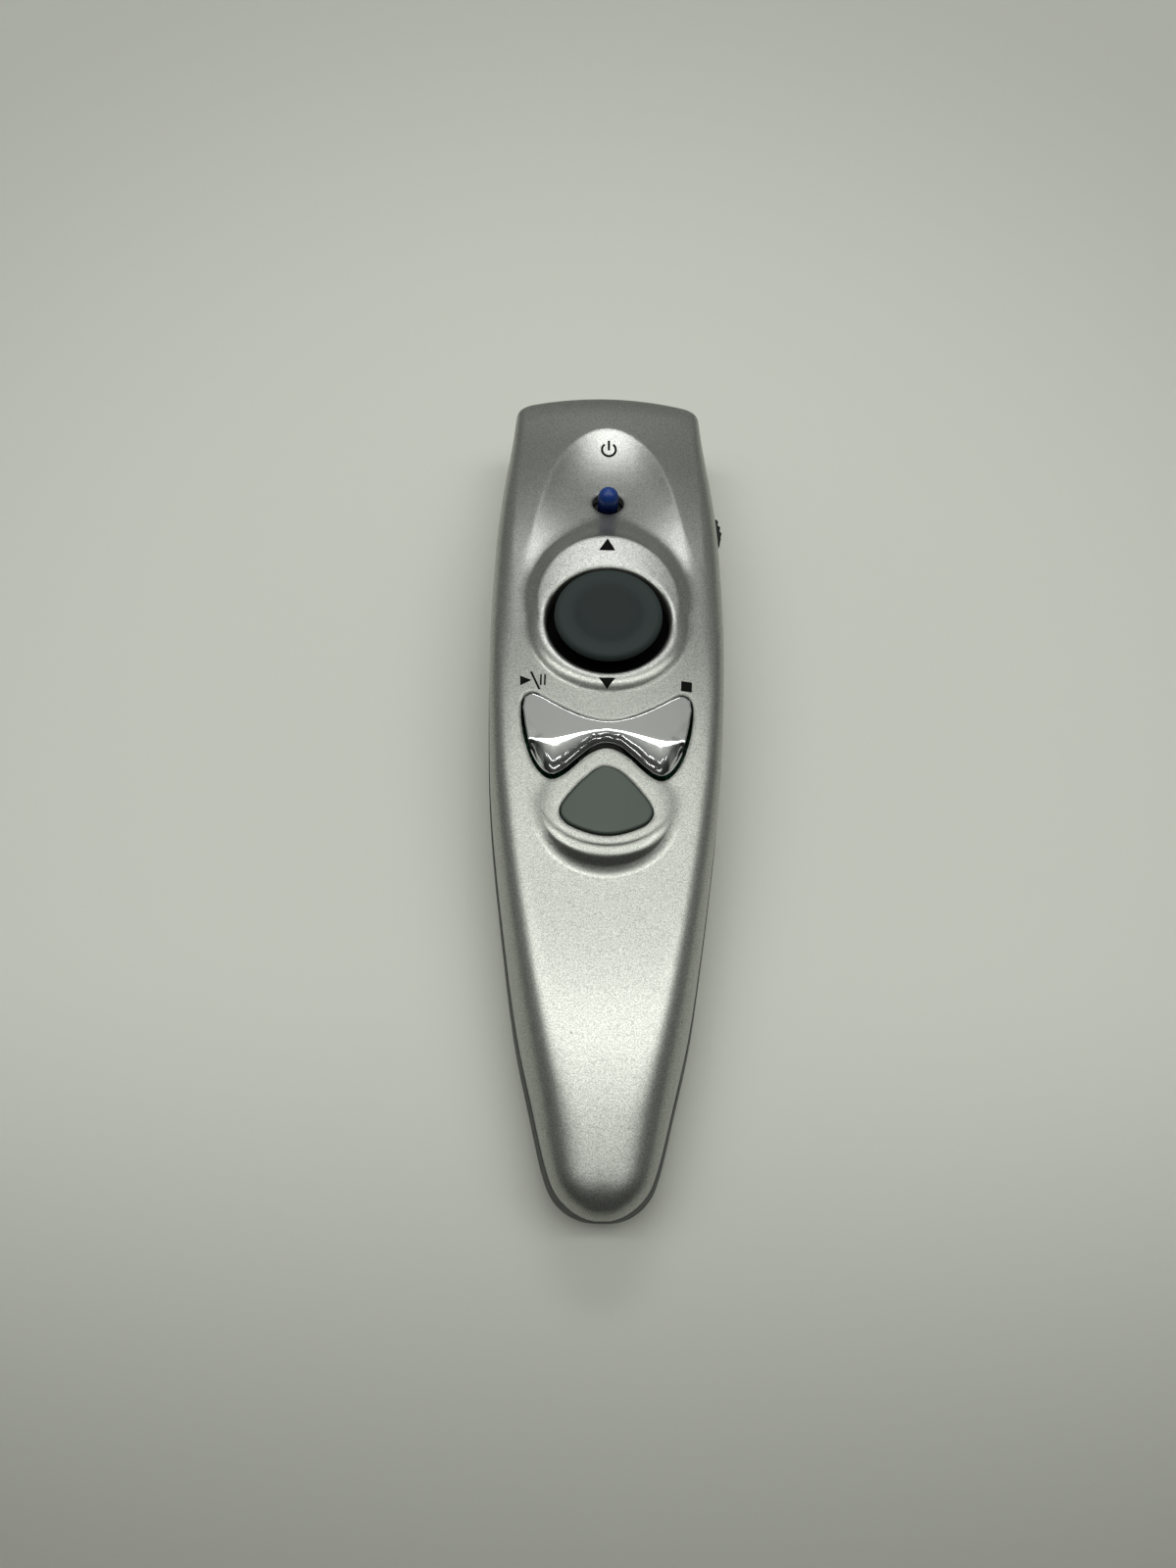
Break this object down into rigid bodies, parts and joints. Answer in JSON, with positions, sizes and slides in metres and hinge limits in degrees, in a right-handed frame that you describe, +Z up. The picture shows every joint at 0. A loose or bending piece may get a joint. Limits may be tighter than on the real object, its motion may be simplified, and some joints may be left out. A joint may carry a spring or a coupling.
{
  "type": "wireless presentation clicker",
  "caption": "Slim hand-held presentation clicker with a tilting thumb pad, a bow-tie rocker key, push buttons, a side slider, a laser in its nose and a battery door underneath.",
  "frame": {"origin": "centre of the footprint, on the flat underside", "axes": "+Y from the round tail to the laser nose, +Z up from the underside, +X to the side with the mode slider"},
  "size_m": [0.0424, 0.1521, 0.0264],
  "materials": {
    "silver_abs": "satin silver paint",
    "black_abs": "fine texture",
    "chrome_abs": "bright plated plastic",
    "grey_key": "satin",
    "grey_rubber": "matte",
    "blue_key": "gloss",
    "black_key": "satin",
    "cell_wrap": "printed sleeve",
    "spring_steel": "satin",
    "nickel_plate": "bright",
    "board_laminate": "solder mask",
    "zinc_screw": "zinc plated",
    "chip_resin": "moulded resin",
    "tinplate": "tinned",
    "white_acetal": "natural",
    "brass_barrel": "turned",
    "clear_lens": "clear"
  },
  "bodies": {
    "housing": {"top_shell": "silver_abs", "bottom_shell": "black_abs", "battery_left": "cell_wrap", "battery_right": "cell_wrap", "battery_springs": "spring_steel", "battery_contacts": "nickel_plate", "circuit_board": "board_laminate", "board_screws": "zinc_screw", "housing_screws": "zinc_screw", "controller_chip": "chip_resin", "rf_shield_can": "tinplate", "crystal": "tinplate", "nav_base": "black_abs", "nav_well_liner": "black_abs", "rocker_bracket": "black_abs", "rocker_pin": "spring_steel", "play_switch": "chip_resin", "stop_switch": "chip_resin", "enter_switch": "chip_resin", "power_switch": "chip_resin", "mode_switch": "tinplate", "laser_barrel": "brass_barrel", "laser_diode": "nickel_plate", "laser_lens": "clear_lens", "laser_bezel": "black_key"},
    "battery_cover": {"battery_door": "black_abs"},
    "tilt_ring": {"nav_gimbal": "white_acetal"},
    "thumb_pad": {"nav_stick": "white_acetal", "nav_pad": "grey_rubber"},
    "rocker": {"rocker_key": "chrome_abs"},
    "enter_key": {"enter_button": "grey_key", "enter_plunger": "white_acetal"},
    "power_key": {"power_button": "blue_key", "power_plunger": "white_acetal"},
    "slider": {"mode_slider": "black_key"}
  },
  "joints": [
    {"name": "pad_tilt_fore_aft", "type": "hinge", "parent": "housing", "child": "tilt_ring", "pos_m": [0, 0.0185, 0.0176], "axis": [1, 0, 0], "range_deg": [-6, 6], "stiffness_Nm_per_rad": 0.04},
    {"name": "pad_tilt_side", "type": "hinge", "parent": "tilt_ring", "child": "thumb_pad", "pos_m": [0, 0.0185, 0.0176], "axis": [0, 1, 0], "range_deg": [-6, 6], "stiffness_Nm_per_rad": 0.04},
    {"name": "rocker_tilt", "type": "hinge", "parent": "housing", "child": "rocker", "pos_m": [0, -0.0027, 0.0189], "axis": [0, 1, 0], "range_deg": [-2.5, 2.5], "stiffness_Nm_per_rad": 0.28},
    {"name": "enter_press", "type": "slide", "parent": "housing", "child": "enter_key", "axis": [0, 0, -1], "range_m": [0, 0.0006], "stiffness_N_per_m": 2500},
    {"name": "power_press", "type": "slide", "parent": "housing", "child": "power_key", "axis": [0, 0, -1], "range_m": [0, 0.0005], "stiffness_N_per_m": 2400},
    {"name": "mode_slide", "type": "slide", "parent": "housing", "child": "slider", "axis": [0, 1, 0], "range_m": [0, 0.0024]},
    {"name": "battery_door_lift", "type": "slide", "parent": "housing", "child": "battery_cover", "axis": [0, 0, -1], "range_m": [0, 0.015]}
  ]
}
